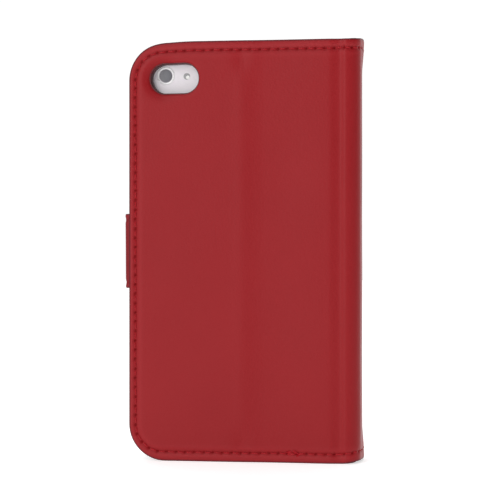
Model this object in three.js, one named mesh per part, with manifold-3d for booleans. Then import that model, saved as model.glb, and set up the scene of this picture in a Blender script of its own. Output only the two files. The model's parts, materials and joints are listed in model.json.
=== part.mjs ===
// A book-style phone wallet case, standing closed on its bottom edge.
// Millimetres, +Z up. The back cover faces +Y, the front cover -Y, the spine is at -X, and the
// free edge with its magnetic strap is at +X. The origin is at the bottom centre of the whole.
import * as THREE from "three";
import { mergeVertices } from "three/addons/utils/BufferGeometryUtils.js";
import Module from "manifold-3d";

const wasm = await Module();
wasm.setup();

// ---- driving dimensions ----

const HEIGHT = 123; // the covers, bottom edge to top edge
const SPINE_X = -35.0; // outer face of the spine
const FREE_X = 33.0; // cut edge of both covers
const CORNER_TOP = 11.4; // radius of the covers' corners at the free edge
const CORNER_BOTTOM = 10.8;
const HINGE_X = -29.9; // middle of the pressed groove that the leather folds along
const GROOVE_START = -27.7; // where the flat of a cover ends
const GROOVE_DEPTH = 0.75;
const SPINE_CORNER = 3.2; // radius of the spine's leather where it turns the corner
const MOUTHS = [-25.5, -17.5, -8.5]; // the pockets' open edges, the banknote pocket's first
const FOLD_X = -0.5; // the stand crease in the back cover
const FOLD_GAP = 1.6; // between the two boards of the back cover

const SKIN = 0.8; // outer leather
const BOARD = 1.0; // grey board inside the covers
const LINING = 0.5; // inner leather
const POCKET = 0.5; // leather of a pocket panel
const PAD = 0.3; // adhesive between the lining and the tray
const LAYER_GAP = 0.15; // between glued layers
const JOINT_GAP = 0.3; // between pieces on two sides of a fold
const SEAM_MARGIN = 3.2; // from the cut edge to the boards

const PHONE = { width: 58.6, height: 115.2, depth: 9.4, corner: 8.5 };
const PHONE_X = 1.2; // middle of the phone across the cover
const TRAY_FLOOR = 1.0;
const TRAY_WALL = 1.0;
const TRAY_PLAY = 0.15; // round the phone
const LIP_DEPTH = 0.6; // the lip that holds the phone's front edge
const LIP_REACH = 0.6;
const POCKET_CLEARANCE = 0.4; // from the tray's lip to the pockets

const WINDOW = { x: 19.7, z: 112, width: 15.0, height: 9.6 }; // camera window in the back

const STRAP_WIDTH = 21.3;
const STRAP_OUT = 0.5; // from the free edge to the strap's inner face
const FLAP_REACH = 27; // from the strap's front fold to the flap's tip
const FLAP_CORNER = 6;
const ANCHOR_DEPTH = 7.2; // of the strap sewn in between skin and lining
const MAGNET = { radius: 5, thickness: 0.8, fromTip: 8.5 };

const ROUND = 10; // segments in a quarter of a round corner

// ---- levels through the closed case, from the front (-Y) to the back (+Y) ----

const flapThickness = LINING + MAGNET.thickness + SKIN + 2 * LAYER_GAP;
const coverThickness = SKIN + BOARD + LINING + 2 * LAYER_GAP;
const pocketsThickness = 3 * (POCKET + LAYER_GAP);
const trayThickness = TRAY_FLOOR + PHONE.depth + LIP_DEPTH;
const caseThickness =
  2 * coverThickness +
  pocketsThickness +
  POCKET_CLEARANCE +
  trayThickness +
  PAD +
  2 * LAYER_GAP;
const total = caseThickness + JOINT_GAP + flapThickness;
const BACK_Y = total / 2; // outer face of the back cover
const FRONT_Y = BACK_Y - caseThickness; // outer face of the front cover
const MID_Z = HEIGHT / 2;

// ---- solids ----

function solid(geometry) {
  const bare = geometry.index ? geometry : mergeVertices(geometry);
  bare.deleteAttribute("normal");
  bare.deleteAttribute("uv");
  const merged = mergeVertices(bare, 1e-4);
  return new wasm.Manifold(
    new wasm.Mesh({
      numProp: 3,
      vertProperties: merged.attributes.position.array,
      triVerts: new Uint32Array(merged.index.array),
    }),
  );
}

function geometryOf(body) {
  const mesh = body.getMesh();
  const geometry = new THREE.BufferGeometry();
  geometry.setAttribute("position", new THREE.BufferAttribute(mesh.vertProperties, 3));
  geometry.setIndex(new THREE.BufferAttribute(mesh.triVerts, 1));
  geometry.computeVertexNormals();
  return geometry;
}

// A shape drawn in X and Y, standing from z = low to z = high.
function standing(shape, low, high) {
  const geometry = new THREE.ExtrudeGeometry(shape, {
    depth: high - low,
    bevelEnabled: false,
    curveSegments: ROUND,
  });
  geometry.translate(0, 0, low);
  return solid(geometry);
}

// A shape drawn in X and Z, as a plate from y = low to y = high.
function plate(shape, low, high) {
  const geometry = new THREE.ExtrudeGeometry(shape, {
    depth: high - low,
    bevelEnabled: false,
    curveSegments: ROUND,
  });
  geometry.rotateX(Math.PI / 2);
  geometry.translate(0, high, 0);
  return solid(geometry);
}

function box(lowX, highX, lowY, highY, lowZ, highZ) {
  const geometry = new THREE.BoxGeometry(highX - lowX, highY - lowY, highZ - lowZ);
  geometry.translate((lowX + highX) / 2, (lowY + highY) / 2, (lowZ + highZ) / 2);
  return solid(geometry);
}

// A disc whose flat faces look along Y.
function disc(x, z, radius, low, high) {
  const geometry = new THREE.CylinderGeometry(radius, radius, high - low, 32);
  geometry.translate(x, (low + high) / 2, z);
  return solid(geometry);
}

// ---- outlines ----

// A rectangle with its own radius at each corner, counter-clockwise from the low corner.
function roundedRectangle(lowX, lowZ, highX, highZ, radii) {
  const [lowLow, highLow, highHigh, lowHigh] = radii;
  const shape = new THREE.Shape();
  const corner = (x, z, radius, from) => {
    if (radius > 0) shape.absarc(x, z, radius, from, from + Math.PI / 2, false);
    else shape.lineTo(x, z);
  };
  shape.moveTo(lowX + lowLow, lowZ);
  corner(highX - highLow, lowZ + highLow, highLow, -Math.PI / 2);
  corner(highX - highHigh, highZ - highHigh, highHigh, 0);
  corner(lowX + lowHigh, highZ - lowHigh, lowHigh, Math.PI / 2);
  corner(lowX + lowLow, lowZ + lowLow, lowLow, Math.PI);
  shape.closePath();
  return shape;
}

// The outline of a cover from x = low to its free edge, drawn in from the cut edge by inset.
function coverOutline(low, inset) {
  return roundedRectangle(low, inset, FREE_X - inset, HEIGHT - inset, [
    0,
    CORNER_BOTTOM - inset,
    CORNER_TOP - inset,
    0,
  ]);
}

function pill(x, z, width, height) {
  const r = height / 2 - 0.001;
  return roundedRectangle(x - width / 2, z - height / 2, x + width / 2, z + height / 2, [
    r,
    r,
    r,
    r,
  ]);
}

// A sheet seen from its edge: a line and the same line moved to its left by thickness.
function ribbon(points, thickness) {
  const moved = points.map((point, i) => {
    const before = points[Math.max(i - 1, 0)];
    const after = points[Math.min(i + 1, points.length - 1)];
    const into = point.clone().sub(before).normalize();
    const out = after.clone().sub(point).normalize();
    const along = into.add(out).normalize();
    const leg = i ? point.clone().sub(before).normalize() : out;
    const stretch = 1 / Math.max(along.dot(leg), 0.5);
    return new THREE.Vector2(-along.y, along.x)
      .multiplyScalar(thickness * stretch)
      .add(point);
  });
  const outline = [...points, ...moved.reverse()];
  if (THREE.ShapeUtils.area(outline) < 0) outline.reverse();
  return new THREE.Shape(outline);
}

function arcPoints(x, y, radius, fromDegrees, toDegrees, steps) {
  return Array.from({ length: steps + 1 }, (_, i) => {
    const turn = THREE.MathUtils.degToRad(
      fromDegrees + ((toDegrees - fromDegrees) * i) / steps,
    );
    return new THREE.Vector2(x + radius * Math.cos(turn), y + radius * Math.sin(turn));
  });
}

// ---- the covers ----

const window = (grow, low, high) =>
  plate(pill(WINDOW.x, WINDOW.z, WINDOW.width + grow, WINDOW.height + grow), low, high);
const hingeSide = HINGE_X + JOINT_GAP;

// The skin of a cover: flat, then down into its half of the groove. inward is -1 or 1 along Y.
function coverSkin(face, inward) {
  const line = [
    new THREE.Vector2(FREE_X, face),
    new THREE.Vector2(GROOVE_START, face),
    new THREE.Vector2((GROOVE_START + hingeSide) / 2, face + (inward * GROOVE_DEPTH) / 2),
    new THREE.Vector2(hingeSide, face + inward * GROOVE_DEPTH),
  ];
  const sheet = standing(ribbon(line, -inward * SKIN), 0, HEIGHT);
  return sheet.intersect(plate(coverOutline(hingeSide, 0), face - 5, face + 5));
}

function backSkin() {
  return coverSkin(BACK_Y, -1).subtract(window(0, BACK_Y - 5, BACK_Y + 5));
}

function backBoardEdgeSide() {
  const high = BACK_Y - SKIN - LAYER_GAP;
  const board = plate(coverOutline(FOLD_X + FOLD_GAP / 2, SEAM_MARGIN), high - BOARD, high);
  const forAnchor = box(
    FREE_X - ANCHOR_DEPTH - JOINT_GAP,
    FREE_X,
    high - 5,
    high + 5,
    MID_Z - STRAP_WIDTH / 2 - JOINT_GAP,
    MID_Z + STRAP_WIDTH / 2 + JOINT_GAP,
  );
  return board.subtract(window(0.6, high - 5, high + 5)).subtract(forAnchor);
}

function backBoardSpineSide() {
  const high = BACK_Y - SKIN - LAYER_GAP;
  return box(
    GROOVE_START,
    FOLD_X - FOLD_GAP / 2,
    high - BOARD,
    high,
    SEAM_MARGIN,
    HEIGHT - SEAM_MARGIN,
  );
}

const backLiningFace = BACK_Y - coverThickness; // the lining's inner face
const frontLiningFace = FRONT_Y + coverThickness;

function backLining() {
  const sheet = plate(coverOutline(hingeSide, 0.2), backLiningFace, backLiningFace + LINING);
  return sheet.subtract(window(0, backLiningFace - 1, backLiningFace + 1));
}

function frontBoard() {
  const low = FRONT_Y + SKIN + LAYER_GAP;
  const board = plate(coverOutline(GROOVE_START, SEAM_MARGIN), low, low + BOARD);
  const discHole = disc(magnetX, MID_Z, MAGNET.radius + JOINT_GAP, low - 1, low + BOARD + 1);
  return board.subtract(discHole);
}

function frontLining() {
  return plate(coverOutline(hingeSide, 0.2), frontLiningFace - LINING, frontLiningFace);
}

// ---- the spine ----

function spineSkinLine() {
  const backHalf = [
    new THREE.Vector2(HINGE_X - JOINT_GAP, BACK_Y - GROOVE_DEPTH),
    new THREE.Vector2(HINGE_X - 0.9, BACK_Y - 0.35),
    new THREE.Vector2(HINGE_X - 1.5, BACK_Y - 0.08),
    ...arcPoints(SPINE_X + SPINE_CORNER, BACK_Y - SPINE_CORNER, SPINE_CORNER, 90, 180, ROUND),
  ];
  return mirroredHalf(backHalf);
}

// A line that starts at the back, followed by its mirror image across the middle of the case.
function mirroredHalf(backHalf) {
  const middle = BACK_Y + FRONT_Y;
  const frontHalf = backHalf.map((p) => new THREE.Vector2(p.x, middle - p.y)).reverse();
  return [...backHalf, ...frontHalf];
}

function spineSkin() {
  return standing(ribbon(spineSkinLine(), SKIN), 0, HEIGHT);
}

function spineBoard() {
  const low = SPINE_X + SKIN + LAYER_GAP;
  const inset = 3.6;
  return box(
    low,
    low + BOARD,
    FRONT_Y + inset,
    BACK_Y - inset,
    SEAM_MARGIN,
    HEIGHT - SEAM_MARGIN,
  );
}

function spineLining() {
  const radius = 1.9;
  const outer = SPINE_X + SKIN + BOARD + 2 * LAYER_GAP;
  const level = backLiningFace + LINING;
  const backHalf = [
    new THREE.Vector2(HINGE_X - JOINT_GAP, level),
    ...arcPoints(outer + radius, level - radius, radius, 90, 180, ROUND / 2),
  ];
  return standing(ribbon(mirroredHalf(backHalf), LINING), 0.2, HEIGHT - 0.2);
}

// ---- the pockets on the front cover's lining ----

// A pocket panel is sewn in at the top, bottom and free edge. Its mouth faces the spine, with
// a round notch for the thumb.
function pocketPanel(order, mouthX, notchRadius) {
  const low = frontLiningFace + LAYER_GAP + order * (POCKET + LAYER_GAP);
  const panel = plate(coverOutline(mouthX, 0.4 + order * 0.2), low, low + POCKET);
  const notch = disc(mouthX - notchRadius * 0.45, MID_Z, notchRadius, low - 1, low + 1.5);
  return panel.subtract(notch);
}

// ---- the tray that holds the phone ----

const trayBack = backLiningFace - PAD - 2 * LAYER_GAP;
const trayFloorFace = trayBack - TRAY_FLOOR;
const trayFront = trayBack - trayThickness;
const phoneLowX = PHONE_X - PHONE.width / 2;
const phoneLowZ = MID_Z - PHONE.height / 2;

// The phone's outline, grown all round.
function phoneOutline(grow) {
  const r = PHONE.corner + grow;
  return roundedRectangle(
    phoneLowX - grow,
    phoneLowZ - grow,
    phoneLowX + PHONE.width + grow,
    phoneLowZ + PHONE.height + grow,
    [r, r, r, r],
  );
}

// A notch in a wall of the tray, open towards the front, so that buttons and sockets are free.
function trayNotch(lowX, highX, lowZ, highZ) {
  const floorRim = 2.2;
  return box(lowX, highX, trayFront - 1, trayFloorFace - floorRim, lowZ, highZ);
}

function phoneTray() {
  const wall = TRAY_PLAY + TRAY_WALL;
  const reach = wall + 1;
  const left = phoneLowX;
  const top = phoneLowZ + PHONE.height;
  let tray = plate(phoneOutline(wall), trayFront, trayBack);
  tray = tray.subtract(
    plate(phoneOutline(TRAY_PLAY), trayFront + LIP_DEPTH, trayFloorFace),
  );
  tray = tray.subtract(
    plate(phoneOutline(TRAY_PLAY - LIP_REACH), trayFront - 1, trayFront + LIP_DEPTH + 1),
  );
  tray = tray.subtract(window(1.2, trayFloorFace - 1, trayBack + 1));
  const notches = [
    trayNotch(PHONE_X - 17, PHONE_X + 17, phoneLowZ - reach, phoneLowZ + 1), // dock and speakers
    trayNotch(left - reach, left + 1, top - 33, top - 9), // side keys
    trayNotch(left + 9, left + 19, top - 1, top + reach), // headphone socket
    trayNotch(left + 41, left + 53, top - 1, top + reach), // power key
  ];
  for (const notch of notches) tray = tray.subtract(notch);
  return tray;
}

function trayPad() {
  const high = backLiningFace - LAYER_GAP;
  const shape = roundedRectangle(FOLD_X + 3, 9, FREE_X - 5, 99, [2, 2, 2, 2]);
  return plate(shape, high - PAD, high);
}

// ---- the closure strap ----

const strapInner = FREE_X + STRAP_OUT;
const strapOuter = strapInner + LINING + LAYER_GAP + SKIN;
const strapAxisX = (strapInner + strapOuter) / 2;
const strapAxisBack = BACK_Y - SKIN - LAYER_GAP - BOARD / 2;
const flapInner = FRONT_Y - JOINT_GAP;
const flapOuter = flapInner - flapThickness;
const flapTip = strapAxisX - FLAP_REACH;
const magnetX = flapTip + MAGNET.fromTip;
const strapLow = MID_Z - STRAP_WIDTH / 2;
const strapHigh = MID_Z + STRAP_WIDTH / 2;

function strapAnchor() {
  return box(
    FREE_X - ANCHOR_DEPTH,
    FREE_X + 0.1,
    strapAxisBack - 0.45,
    strapAxisBack + 0.45,
    strapLow,
    strapHigh,
  );
}

function strapSideLeather() {
  return box(
    strapOuter - SKIN,
    strapOuter,
    FRONT_Y - 0.2,
    strapAxisBack + 0.3,
    strapLow,
    strapHigh,
  );
}

function strapSideLining() {
  return box(
    strapInner,
    strapInner + LINING,
    FRONT_Y,
    strapAxisBack - 0.5,
    strapLow + 0.3,
    strapHigh - 0.3,
  );
}

// The flap's outline from its round-cornered tip to x = high, drawn in by inset.
function flapOutline(high, inset) {
  const r = FLAP_CORNER - inset;
  const tip = flapTip + inset;
  return roundedRectangle(tip, strapLow + inset, high, strapHigh - inset, [r, 0, 0, r]);
}

function flapLeather() {
  const bend = 2;
  const line = [
    ...arcPoints(strapOuter - bend, flapOuter + bend, bend, 0, -90, ROUND / 2),
    new THREE.Vector2(flapTip, flapOuter),
  ];
  const sheet = standing(ribbon(line, -SKIN), strapLow, strapHigh);
  return sheet.intersect(plate(flapOutline(strapOuter + 1, 0), flapOuter - 1, FRONT_Y + 1));
}

function flapLining() {
  return plate(flapOutline(FREE_X - 0.1, 0.3), flapInner - LINING, flapInner);
}

function flapStiffener() {
  const high = flapInner - LINING - LAYER_GAP;
  const shape = flapOutline(FREE_X - 2.5, 1.6);
  const hole = disc(magnetX, MID_Z, MAGNET.radius + JOINT_GAP, high - 2, high + 1);
  return plate(shape, high - MAGNET.thickness, high).subtract(hole);
}

function flapMagnet() {
  const high = flapInner - LINING - LAYER_GAP;
  return disc(magnetX, MID_Z, MAGNET.radius, high - MAGNET.thickness, high);
}

function claspDisc() {
  const low = FRONT_Y + SKIN + LAYER_GAP;
  return disc(magnetX, MID_Z, MAGNET.radius, low, low + MAGNET.thickness);
}

// ---- the assembly ----

const finish = (color, roughness, metalness = 0) =>
  new THREE.MeshStandardMaterial({ color, roughness, metalness });
const redLeather = finish(0x9b2e31, 0.42);
const liningLeather = finish(0x8c2a2d, 0.6);
const greyBoard = finish(0x8a8378, 0.9);
const blackPlastic = finish(0x1b1b1d, 0.5);
const foamTape = finish(0xd9d6cf, 0.8);
const plainSteel = finish(0xa9abad, 0.35, 1);

const part = new THREE.Group();

// One group for each body that moves as one.
function body(pieces) {
  const group = new THREE.Group();
  for (const [name, material, shape] of pieces) {
    const mesh = new THREE.Mesh(geometryOf(shape), material);
    mesh.name = name;
    group.add(mesh);
  }
  part.add(group);
}

body([
  ["back_skin", redLeather, backSkin()],
  ["back_board_edge_side", greyBoard, backBoardEdgeSide()],
  ["back_board_spine_side", greyBoard, backBoardSpineSide()],
  ["back_lining", liningLeather, backLining()],
  ["tray_adhesive_pad", foamTape, trayPad()],
  ["phone_tray", blackPlastic, phoneTray()],
  ["strap_anchor", redLeather, strapAnchor()],
]);
body([
  ["spine_skin", redLeather, spineSkin()],
  ["spine_board", greyBoard, spineBoard()],
  ["spine_lining", liningLeather, spineLining()],
]);
body([
  ["front_skin", redLeather, coverSkin(FRONT_Y, 1)],
  ["front_board", greyBoard, frontBoard()],
  ["front_lining", liningLeather, frontLining()],
  ["banknote_pocket", liningLeather, pocketPanel(0, MOUTHS[0], 8)],
  ["card_pocket_rear", liningLeather, pocketPanel(1, MOUTHS[1], 9)],
  ["card_pocket_front", liningLeather, pocketPanel(2, MOUTHS[2], 9)],
  ["clasp_steel_disc", plainSteel, claspDisc()],
]);
body([
  ["strap_side_leather", redLeather, strapSideLeather()],
  ["strap_side_lining", liningLeather, strapSideLining()],
]);
body([
  ["strap_flap_leather", redLeather, flapLeather()],
  ["strap_flap_lining", liningLeather, flapLining()],
  ["strap_flap_stiffener", greyBoard, flapStiffener()],
  ["strap_magnet", plainSteel, flapMagnet()],
]);

export default part;
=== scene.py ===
"""The looks of a leather phone wallet case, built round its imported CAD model.

Sizes in this script are millimetres and become metres where a mesh is made. +Z is up, the back
cover faces +Y, the spine is at -X, and the free edge with its strap is at +X.
"""

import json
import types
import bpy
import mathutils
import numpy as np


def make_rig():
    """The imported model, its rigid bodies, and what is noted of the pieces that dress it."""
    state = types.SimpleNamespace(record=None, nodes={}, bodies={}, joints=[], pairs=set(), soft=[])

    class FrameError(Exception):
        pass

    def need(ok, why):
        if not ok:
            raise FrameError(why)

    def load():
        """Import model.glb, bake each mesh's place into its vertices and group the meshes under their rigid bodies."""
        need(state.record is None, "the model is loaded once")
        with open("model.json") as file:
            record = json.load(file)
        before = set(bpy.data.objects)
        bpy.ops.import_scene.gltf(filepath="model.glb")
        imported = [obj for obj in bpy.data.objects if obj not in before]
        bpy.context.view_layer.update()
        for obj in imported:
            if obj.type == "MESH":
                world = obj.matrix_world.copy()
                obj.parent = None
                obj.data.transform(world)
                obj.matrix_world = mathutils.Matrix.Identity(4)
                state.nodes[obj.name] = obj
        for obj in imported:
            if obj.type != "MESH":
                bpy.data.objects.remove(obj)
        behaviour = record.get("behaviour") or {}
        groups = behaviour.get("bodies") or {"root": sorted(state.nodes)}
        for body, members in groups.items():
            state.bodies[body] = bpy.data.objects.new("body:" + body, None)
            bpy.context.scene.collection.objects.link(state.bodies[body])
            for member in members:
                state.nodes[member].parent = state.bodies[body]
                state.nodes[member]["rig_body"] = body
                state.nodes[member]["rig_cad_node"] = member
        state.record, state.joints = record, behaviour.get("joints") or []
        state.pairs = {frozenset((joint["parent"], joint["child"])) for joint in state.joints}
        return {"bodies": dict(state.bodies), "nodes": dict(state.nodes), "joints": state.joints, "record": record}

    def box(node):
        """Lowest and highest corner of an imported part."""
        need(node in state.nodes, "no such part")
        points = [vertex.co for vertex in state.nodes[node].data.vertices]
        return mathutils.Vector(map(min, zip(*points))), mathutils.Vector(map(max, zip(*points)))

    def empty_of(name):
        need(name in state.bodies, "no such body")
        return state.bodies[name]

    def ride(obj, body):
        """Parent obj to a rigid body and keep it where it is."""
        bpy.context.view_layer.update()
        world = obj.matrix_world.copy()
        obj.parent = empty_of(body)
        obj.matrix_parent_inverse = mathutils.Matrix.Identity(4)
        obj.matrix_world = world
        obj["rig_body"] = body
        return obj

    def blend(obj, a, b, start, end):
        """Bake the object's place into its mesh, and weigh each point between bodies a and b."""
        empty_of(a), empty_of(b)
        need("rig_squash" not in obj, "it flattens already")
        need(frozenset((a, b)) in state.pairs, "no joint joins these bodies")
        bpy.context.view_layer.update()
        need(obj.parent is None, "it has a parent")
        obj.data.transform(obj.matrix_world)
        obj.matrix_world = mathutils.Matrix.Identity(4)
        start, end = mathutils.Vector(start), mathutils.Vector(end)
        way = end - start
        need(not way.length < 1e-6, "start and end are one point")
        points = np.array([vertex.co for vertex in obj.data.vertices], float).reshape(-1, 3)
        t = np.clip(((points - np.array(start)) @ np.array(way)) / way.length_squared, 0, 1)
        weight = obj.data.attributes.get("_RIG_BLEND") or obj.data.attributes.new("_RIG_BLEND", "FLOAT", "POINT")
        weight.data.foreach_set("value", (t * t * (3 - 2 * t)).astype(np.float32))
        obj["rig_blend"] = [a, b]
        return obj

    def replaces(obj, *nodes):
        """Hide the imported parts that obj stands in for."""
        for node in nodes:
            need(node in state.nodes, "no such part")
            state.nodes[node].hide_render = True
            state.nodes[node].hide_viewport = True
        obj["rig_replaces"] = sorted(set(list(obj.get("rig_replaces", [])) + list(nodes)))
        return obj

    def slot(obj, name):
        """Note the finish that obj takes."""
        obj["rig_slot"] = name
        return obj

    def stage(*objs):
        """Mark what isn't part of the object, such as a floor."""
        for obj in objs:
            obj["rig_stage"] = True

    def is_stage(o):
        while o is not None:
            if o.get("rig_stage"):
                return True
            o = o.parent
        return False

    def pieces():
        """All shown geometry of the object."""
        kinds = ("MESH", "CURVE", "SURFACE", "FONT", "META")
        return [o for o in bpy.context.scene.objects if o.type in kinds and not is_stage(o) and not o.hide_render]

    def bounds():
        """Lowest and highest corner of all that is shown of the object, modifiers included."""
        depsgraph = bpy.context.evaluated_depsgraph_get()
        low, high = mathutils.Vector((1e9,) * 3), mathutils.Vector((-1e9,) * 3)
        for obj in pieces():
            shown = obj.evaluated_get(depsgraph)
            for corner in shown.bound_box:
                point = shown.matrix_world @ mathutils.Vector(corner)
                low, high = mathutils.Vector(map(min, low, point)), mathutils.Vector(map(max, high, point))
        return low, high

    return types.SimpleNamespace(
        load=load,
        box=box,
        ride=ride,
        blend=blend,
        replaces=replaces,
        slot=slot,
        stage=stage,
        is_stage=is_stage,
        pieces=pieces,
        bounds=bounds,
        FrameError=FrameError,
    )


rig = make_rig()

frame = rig.load()

import json
import math

import bmesh
import bpy
import numpy as np
from mathutils import Vector

CAD_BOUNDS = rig.bounds()
PER_METRE = 1000.0
DENSE = 0.1  # step along a line that is looked up, not drawn


# ---- measures from the frame ----


def low(node):
    return np.array(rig.box(node)[0]) * PER_METRE


def high(node):
    return np.array(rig.box(node)[1]) * PER_METRE


def joint_at(name):
    joint = next(j for j in frame["joints"] if j["name"] == name)
    return np.array(joint["pos_m"]) * PER_METRE


def opening(name):
    openings = frame["record"]["physics"]["openings"]
    box = next(o for o in openings if o["name"] == name)["box_m"]
    return np.array(box) * PER_METRE


HEIGHT = high("back_skin")[2]
FREE_X = high("back_skin")[0]
BACK_Y = high("back_skin")[1]
FRONT_Y = low("front_skin")[1]
SPINE_X = low("spine_skin")[0]
MID_Y = (BACK_Y + FRONT_Y) / 2
MID_Z = HEIGHT / 2
HINGE_X = joint_at("spine_hinge")[0]
CREASE_X = (low("back_board_edge_side")[0] + high("back_board_spine_side")[0]) / 2
WINDOW_X, _, WINDOW_Z = opening("camera_window").mean(axis=0)

# how deep each layer of a cover lies under its outer face
LINING_OUT = BACK_Y - high("back_lining")[1]
LINING_IN = BACK_Y - low("back_lining")[1]
SKIN = 0.8

# ---- measures of the soft parts ----

CORNER_TOP = 11.4
CORNER_BOTTOM = 10.8
CORNER_SAG = 0.38  # how far the top corners fall short of a quarter circle
GROOVE_DEPTH = 0.38
GROOVE_X = HINGE_X + 0.6
GROOVE_COVER_SIDE = 3.3
GROOVE_SPINE_SIDE = 1.5
SPINE_CORNER = 4.2
LINING_CORNER = 1.9
SPINE_TUCK = 0.64  # how far the middle of the spine is drawn in, between its sewn ends
TUCK_RUN = 10.2  # over which it is drawn in, from each end
SPINE_BULGE = 0.5
SPINE_RISE = 0.6  # how far the closed spine rides up between the covers
SPINE_CURL = 0.85  # the same at its bottom end

MARGIN_PRESS = 0.3  # how far each of these is pressed in
SEAM_PRESS = 0.24
EDGE_PRESS = 0.3
HOLE_PRESS = 0.3
CREASE_DROP = 0.32
CREASE_DENT = 0.34  # at each end of the stand crease
CREASE_RIDGE = 0.08
WAVES = 0.035

SEAM_FREE = 1.9  # from the cut edge to the stitches
SEAM_TOP = 2.7
SEAM_BOTTOM = 2.7
PITCH = 2.75
SMALL_PITCH = 2.6  # on the strap and the pockets
HOLE_WIDTH = 0.42
THREAD = 0.23  # radius
SMALL_THREAD = 0.19
THREAD_SUNK = 0.14  # how much deeper the stitches lie where they cross the spine
EDGE_LEVEL = 1.3  # where outer leather and lining meet in the sewn margin

WINDOW_SHIFT = (0.3, 0.2)  # from the CAD's place, away from the free edge and up
WINDOW_HALF = 2.72  # straight half of the camera window
WINDOW_RADIUS = 4.6
WINDOW_BEVEL = 0.9
WINDOW_LEDGE = 0.25
WINDOW_PRESS = 0.45  # how far the leather is drawn in beside the window's free-edge end

STRAP_LOW = low("strap_side_leather")[2] - 0.2
STRAP_HIGH = high("strap_side_leather")[2] + 0.35
STRAP_SKIN = 0.55
STRAP_LINING = 0.4
STRAP_SEAM = 1.7


# ---- small helpers ----


def ease(start, end, value):
    """0 before start, 1 after end, and smooth between them."""
    t = np.clip((value - start) / (end - start), 0, 1)
    return t * t * (3 - 2 * t)


def hump(width, distance):
    return np.exp(-((distance / width) ** 2))


def spaced(*stops):
    """Values through the stops, given as start, then pairs of (step, end)."""
    values = [stops[0]]
    for step, end in stops[1:]:
        count = max(1, round(abs(end - values[-1]) / step))
        values.extend(np.linspace(values[-1], end, count + 1)[1:])
    return np.array(values)


class Section:
    """A sheet's line seen from above, looked up by the distance along it."""

    def __init__(self, *parts):
        self.points = np.concatenate([np.atleast_2d(p) for p in parts])
        steps = np.hypot(*np.diff(self.points, axis=0).T)
        self.points = self.points[np.concatenate([[True], steps > 1e-6])]
        steps = np.hypot(*np.diff(self.points, axis=0).T)
        self.along = np.concatenate([[0], np.cumsum(steps)])
        self.length = self.along[-1]
        tangent = np.gradient(self.points, self.along, axis=0)
        tangent /= np.hypot(*tangent.T)[:, None]
        self.inward = np.stack([-tangent[:, 1], tangent[:, 0]], axis=1)

    def look_up(self, table, s):
        """A table's row at each distance s."""
        return np.stack([np.interp(s, self.along, column) for column in table.T], axis=-1)

    def place(self, s, z, level):
        """The point at distance s and height z, level millimetres under the line."""
        flat = self.look_up(self.points, s) + self.look_up(self.inward, s) * level[..., None]
        return np.concatenate([flat, z[..., None]], axis=-1)

    def at_x(self, x):
        """The distance at which the line first passes x."""
        return self.along[np.argmin(np.abs(self.points[:, 0] - x))]


def line(start, end):
    start, end = np.array(start, float), np.array(end, float)
    count = max(2, int(np.hypot(*(end - start)) / DENSE))
    return start + (end - start) * np.linspace(0, 1, count)[:, None]


def arc(centre, radius, first, last):
    turns = np.radians(np.linspace(first, last, 40))
    return np.array(centre) + radius * np.stack([np.cos(turns), np.sin(turns)], axis=1)


def inside(s, below, above, radius):
    """Distance in from an outline with round corners where s is small, negative outside it."""
    end = np.minimum(below, above)
    across, up = radius - s, radius - end
    rounded = radius - np.hypot(across, up)
    return np.where((across > 0) & (up > 0), rounded, np.minimum(s, end))


def round_corner(s, z, first, start, end, radius, top):
    """Bends the square corner of a grid into a round one. The grid's s begins at first."""
    corner = end - radius if top else start + radius
    across = np.clip((radius - (s - first)) / radius, 0, 1)
    up = np.clip((z - corner) / radius if top else (corner - z) / radius, 0, 1)
    new_across = across * np.sqrt(1 - up**2 / 2)
    new_up = up * np.sqrt(1 - across**2 / 2)
    moved = (across > 0) & (up > 0)
    s = np.where(moved, first + radius * (1 - new_across), s)
    z = np.where(moved, corner + (1 if top else -1) * radius * new_up, z)
    return s, z


def make_object(name, points, faces, materials, face_material=None, smooth=40):
    """A mesh object from points in millimetres. Points that no face uses are dropped."""
    used = np.unique(np.concatenate([np.asarray(f).ravel() for f in faces]))
    place_of = np.full(len(points), -1)
    place_of[used] = np.arange(len(used))
    polygons = [tuple(place_of[list(f)]) for group in faces for f in group]
    mesh = bpy.data.meshes.new(name)
    mesh.from_pydata((np.asarray(points)[used] / PER_METRE).tolist(), [], polygons)
    if face_material is not None:
        mesh.polygons.foreach_set("material_index", np.asarray(face_material, np.int32))
    fixed = bmesh.new()
    fixed.from_mesh(mesh)
    bmesh.ops.recalc_face_normals(fixed, faces=fixed.faces)
    fixed.to_mesh(mesh)
    fixed.free()
    mesh.polygons.foreach_set("use_smooth", [True] * len(mesh.polygons))
    mesh.set_sharp_from_angle(angle=math.radians(smooth))
    mesh.validate()
    for material in materials:
        mesh.materials.append(material)
    obj = bpy.data.objects.new(name, mesh)
    bpy.context.scene.collection.objects.link(obj)
    return obj, used


def paint(obj, name, values):
    """A number for each point, which the materials read."""
    attribute = obj.data.attributes.new(name, "FLOAT", "POINT")
    attribute.data.foreach_set("value", np.asarray(values, np.float32))


def mirrored(points):
    """The same points on the other cover."""
    out = points.copy()
    out[..., 1] = 2 * MID_Y - out[..., 1]
    return out


# ---- sheets ----


def ring_of(count_z, i0, i1, j0, j1):
    """Indices round a block of a grid with count_z points to a column, in order."""
    steps = [(i, j0) for i in range(i0, i1)]
    steps += [(i1, j) for j in range(j0, j1)]
    steps += [(i, j1) for i in range(i1, i0, -1)]
    steps += [(i0, j) for j in range(j1, j0, -1)]
    return np.array([i * count_z + j for i, j in steps])


def strip(first, second):
    """Quads between two closed rings of point indices."""
    return np.stack([first, second, np.roll(second, -1), np.roll(first, -1)], axis=1)


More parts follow.
